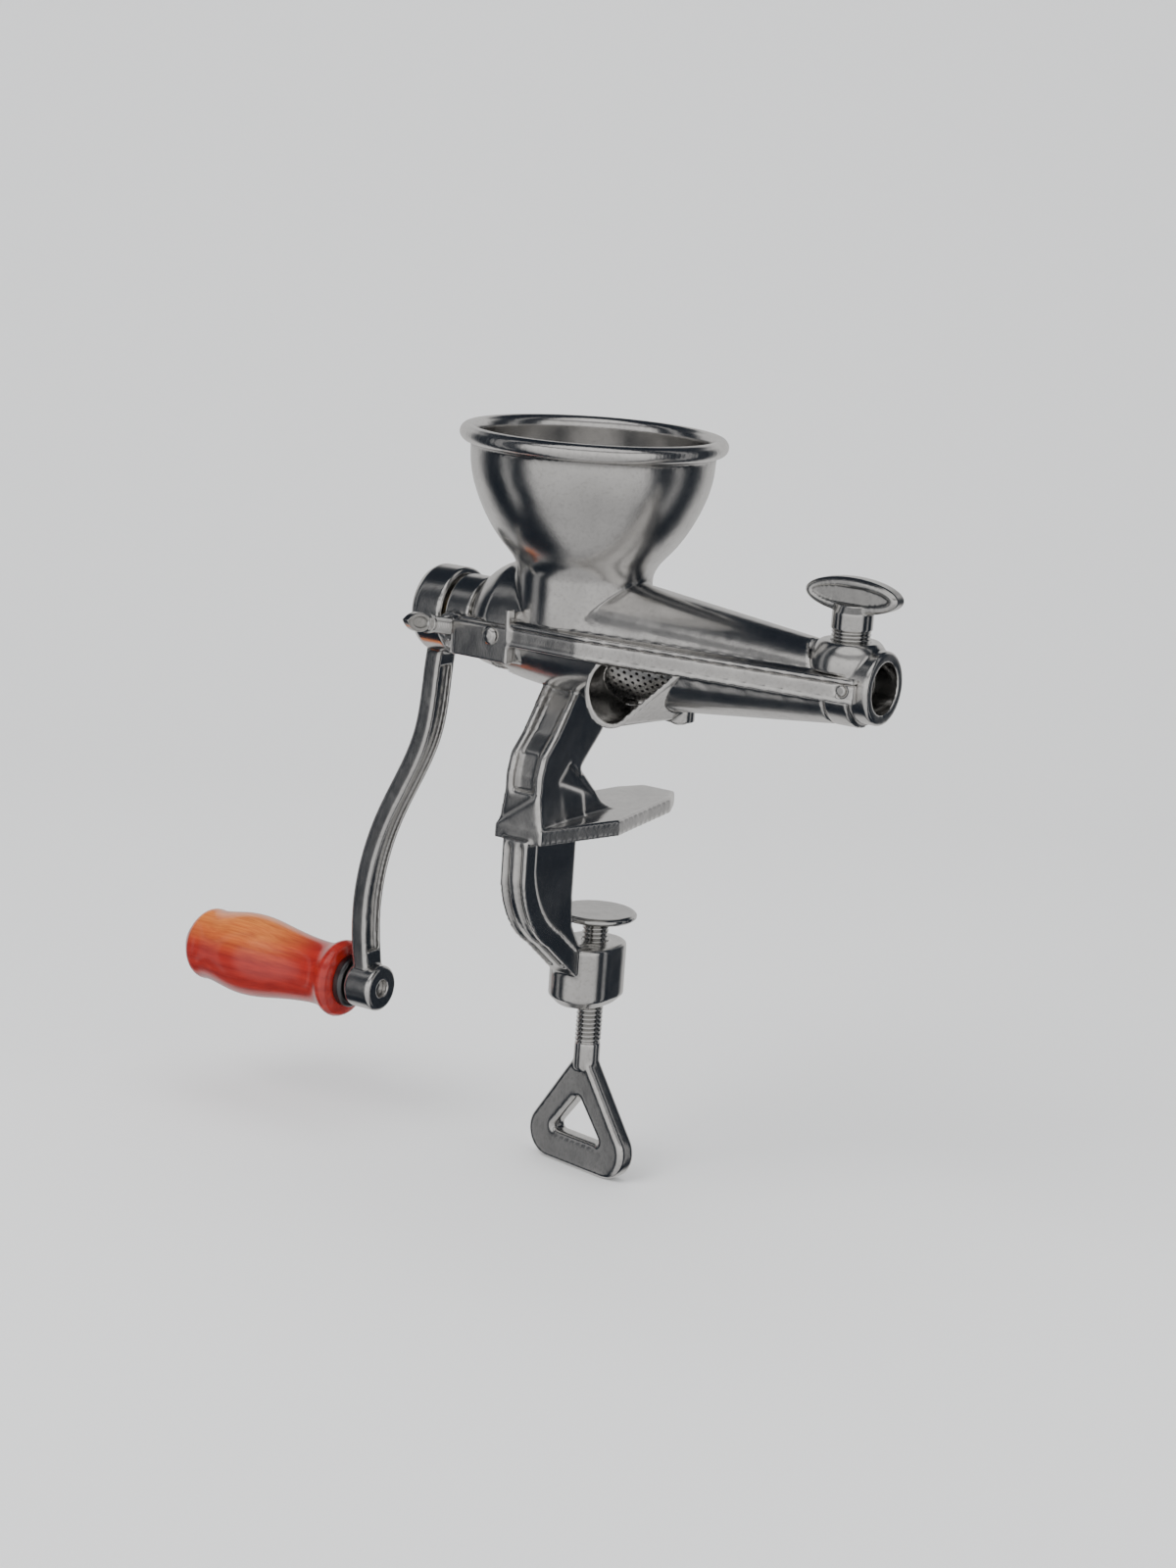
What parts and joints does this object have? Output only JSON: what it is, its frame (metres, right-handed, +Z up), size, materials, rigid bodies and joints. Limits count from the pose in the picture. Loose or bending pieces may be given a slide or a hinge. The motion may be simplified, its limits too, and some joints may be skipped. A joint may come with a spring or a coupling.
{
  "type": "hand-cranked clamp-on juicer",
  "caption": "Table-edge clamp juicer: a crank turns a tapered worm in a split cast barrel, past a strainer and spout, to a screw-throttled pulp outlet.",
  "frame": {"origin": "where the clamp screw's axis meets the flat underside of the jaw plate, which rests on the table top", "axes": "+X along the barrel from the crank to the pulp outlet, +Y from the user's side in over the table, +Z up out of the hopper"},
  "size_m": [0.3598, 0.1304, 0.3377],
  "materials": {
    "casting": "tinned and polished, with dark reflections",
    "worm_metal": "tinned, satin",
    "steel": "bright plated steel",
    "screen": "perforated stainless sheet",
    "bush": "plain turned",
    "washer": "plain thrust washer",
    "ferrule": "dark turned steel",
    "grip": "red-stained varnished wood"
  },
  "bodies": {
    "frame": {"base_casting": "casting", "hopper_casting": "casting", "front_cap": "casting", "cap_lock_pins": "steel", "rear_collar": "casting", "collar_rivets": "steel", "rear_bush": "bush", "strainer": "screen", "juice_spout": "casting", "spout_screw": "steel"},
    "crank": {"worm": "worm_metal", "thrust_washer": "washer", "crank_arm": "casting", "crank_screw": "steel", "crank_washer": "steel", "handle_pin": "steel", "pin_washer": "steel"},
    "handle": {"handle_grip": "grip", "handle_ferrule": "ferrule"},
    "throttle": {"throttle_plug": "steel"},
    "pressure_screw": {"pressure_screw": "steel"},
    "clamp_pad": {"clamp_pad": "steel"},
    "clamp_screw": {"clamp_screw": "steel"},
    "lock_screw": {"lock_screw": "steel"}
  },
  "joints": [
    {"name": "crank_turn", "type": "hinge", "parent": "frame", "child": "crank", "pos_m": [0, -0.028, 0.0865], "axis": [1, 0, 0], "continuous": true},
    {"name": "handle_spin", "type": "hinge", "parent": "crank", "child": "handle", "pos_m": [-0.16, -0.028, -0.0949], "axis": [1, 0, 0], "continuous": true},
    {"name": "throttle_slide", "type": "slide", "parent": "frame", "child": "throttle", "axis": [0, 0, 1], "range_m": [-0.004, 0.003]},
    {"name": "pressure_turn", "type": "hinge", "parent": "throttle", "child": "pressure_screw", "pos_m": [0.1317, -0.028, 0.11], "axis": [0, 0, 1], "range_deg": [-961, 721]},
    {"name": "clamp_slide", "type": "slide", "parent": "frame", "child": "clamp_pad", "axis": [0, 0, 1], "range_m": [-0.007, 0.02]},
    {"name": "clamp_turn", "type": "hinge", "parent": "clamp_pad", "child": "clamp_screw", "pos_m": [0, 0, -0.08], "axis": [0, 0, 1], "range_deg": [-1261, 3601]},
    {"name": "lock_turn", "type": "hinge", "parent": "frame", "child": "lock_screw", "pos_m": [-0.054, -0.045, 0.0823], "axis": [0, -0.9816, 0.1908], "range_deg": [0, 720]}
  ],
  "couplings": [
    {"joint": "pressure_turn", "follows": "throttle_slide", "rad_per_m": 4188.8},
    {"joint": "clamp_turn", "follows": "clamp_slide", "rad_per_m": 3141.6}
  ]
}
